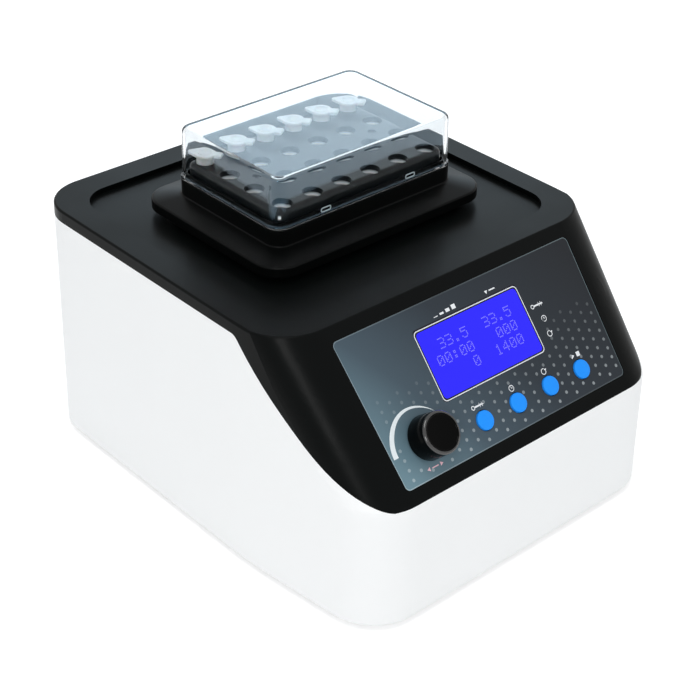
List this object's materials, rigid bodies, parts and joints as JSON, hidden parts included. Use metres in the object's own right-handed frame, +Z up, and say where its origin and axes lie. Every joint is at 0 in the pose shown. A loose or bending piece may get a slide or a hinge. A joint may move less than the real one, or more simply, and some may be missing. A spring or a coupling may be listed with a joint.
{
  "type": "thermal mixer",
  "caption": "Bench-top thermal mixer: a heated block of microtube wells on an orbital shaker under a clear lid, with a sloped control panel, knob and buttons.",
  "frame": {"origin": "on the bench, under the middle of the whole instrument", "axes": "+X to the right of someone who faces the control panel, +Y to the rear, +Z up"},
  "size_m": [0.2368, 0.2776, 0.1976],
  "materials": {
    "white_housing": "satin moulded",
    "dark_cover": "satin moulded",
    "shroud_black": "semi-gloss moulded",
    "panel_film": "printed film",
    "display_blue": "lit display",
    "button_blue": "satin moulded",
    "knob_black": "glossy moulded",
    "lid_clear": "clear plastic",
    "tube_clear": "translucent plastic",
    "block_aluminium": "dark anodised",
    "bare_aluminium": "machined",
    "jacket_foam": "heat-proof moulded",
    "steel": "turned",
    "zinc_plate": "zinc plated",
    "bearing_steel": "ground",
    "motor_black": "painted",
    "board_green": "lacquered board",
    "ceramic_white": "ceramic",
    "foot_rubber": "matt",
    "socket_black": "moulded",
    "brass_pins": "plated",
    "supply_steel": "folded sheet"
  },
  "bodies": {
    "housing": {"lower_housing": "white_housing", "chassis_plate": "zinc_plate", "rubber_foot_1": "foot_rubber", "rubber_foot_2": "foot_rubber", "rubber_foot_3": "foot_rubber", "rubber_foot_4": "foot_rubber", "base_screws": "steel", "top_cover": "dark_cover", "control_panel": "panel_film", "lcd_glass": "display_blue", "lcd_frame": "socket_black", "lcd_board": "board_green", "control_board": "board_green", "tact_switches": "socket_black", "panel_screws": "steel", "encoder_body": "zinc_plate", "encoder_nut": "zinc_plate", "drive_frame": "bare_aluminium", "frame_posts": "bare_aluminium", "frame_screws": "steel", "frame_bearings": "bearing_steel", "motor": "motor_black", "inlet_socket": "socket_black", "inlet_pins": "brass_pins", "switch_body": "socket_black", "fan_frame": "socket_black", "fan_screws": "steel", "main_board": "board_green", "power_supply": "supply_steel"},
    "drive": {"drive_shaft": "steel", "counterweight": "steel"},
    "platform": {"platform_plate": "bare_aluminium", "platform_bearings": "bearing_steel", "heat_sink": "bare_aluminium", "peltier_modules": "ceramic_white", "block_jacket": "jacket_foam", "heating_block": "block_aluminium", "block_screws": "steel", "temperature_sensor": "steel", "block_shroud": "shroud_black", "sample_tube_1": "tube_clear", "sample_tube_2": "tube_clear", "sample_tube_3": "tube_clear", "sample_tube_4": "tube_clear", "sample_tube_5": "tube_clear", "sample_tube_6": "tube_clear"},
    "lid": {"lid": "lid_clear"},
    "encoder": {"encoder_rotor": "socket_black"},
    "knob": {"encoder_shaft": "bare_aluminium", "control_knob": "knob_black"},
    "rocker": {"switch_rocker": "socket_black"},
    "fan": {"fan_rotor": "socket_black"},
    "idler_1": {"idler_crank_1": "steel"},
    "idler_2": {"idler_crank_2": "steel"},
    "idler_3": {"idler_crank_3": "steel"},
    "button_1": {"button_1": "button_blue"},
    "button_2": {"button_2": "button_blue"},
    "button_3": {"button_3": "button_blue"},
    "button_4": {"button_4": "button_blue"}
  },
  "joints": [
    {"name": "drive_spin", "type": "hinge", "parent": "housing", "child": "drive", "pos_m": [0, 0.03137, 0.0792], "axis": [0, 0, 1], "continuous": true},
    {"name": "table_orbit", "type": "hinge", "parent": "drive", "child": "platform", "pos_m": [0, 0.03287, 0.1012], "axis": [0, 0, 1], "continuous": true},
    {"name": "idler_spin_1", "type": "hinge", "parent": "housing", "child": "idler_1", "pos_m": [-0.056, 0.06137, 0.0792], "axis": [0, 0, 1], "continuous": true},
    {"name": "idler_spin_2", "type": "hinge", "parent": "housing", "child": "idler_2", "pos_m": [0.056, 0.06137, 0.0792], "axis": [0, 0, 1], "continuous": true},
    {"name": "idler_spin_3", "type": "hinge", "parent": "housing", "child": "idler_3", "pos_m": [0, -0.00463, 0.0792], "axis": [0, 0, 1], "continuous": true},
    {"name": "lid_lift", "type": "slide", "parent": "platform", "child": "lid", "axis": [0, 0, 1], "range_m": [0, 0.06]},
    {"name": "button_press_1", "type": "slide", "parent": "housing", "child": "button_1", "axis": [0, 0.7513, -0.66], "range_m": [0, 0.0008], "stiffness_N_per_m": 400, "springref_m": -0.0012},
    {"name": "button_press_2", "type": "slide", "parent": "housing", "child": "button_2", "axis": [0, 0.7513, -0.66], "range_m": [0, 0.0008], "stiffness_N_per_m": 400, "springref_m": -0.0012},
    {"name": "button_press_3", "type": "slide", "parent": "housing", "child": "button_3", "axis": [0, 0.7513, -0.66], "range_m": [0, 0.0008], "stiffness_N_per_m": 400, "springref_m": -0.0012},
    {"name": "button_press_4", "type": "slide", "parent": "housing", "child": "button_4", "axis": [0, 0.7513, -0.66], "range_m": [0, 0.0008], "stiffness_N_per_m": 400, "springref_m": -0.0012},
    {"name": "knob_turn", "type": "hinge", "parent": "housing", "child": "encoder", "pos_m": [-0.0575, -0.11912, 0.09524], "axis": [0, -0.7513, 0.66], "continuous": true},
    {"name": "knob_press", "type": "slide", "parent": "encoder", "child": "knob", "axis": [0, 0.7513, -0.66], "range_m": [0, 0.0005], "stiffness_N_per_m": 800, "springref_m": -0.0012},
    {"name": "switch_rock", "type": "hinge", "parent": "housing", "child": "rocker", "pos_m": [0.076, 0.1348, 0.042], "axis": [1, 0, 0], "range_deg": [0, 18]},
    {"name": "fan_spin", "type": "hinge", "parent": "housing", "child": "fan", "pos_m": [-0.048, 0.1283, 0.062], "axis": [0, 1, 0], "continuous": true}
  ],
  "couplings": [
    {"joint": "table_orbit", "follows": "drive_spin", "ratio": -1},
    {"joint": "idler_spin_1", "follows": "drive_spin", "ratio": 1},
    {"joint": "idler_spin_2", "follows": "drive_spin", "ratio": 1},
    {"joint": "idler_spin_3", "follows": "drive_spin", "ratio": 1}
  ]
}
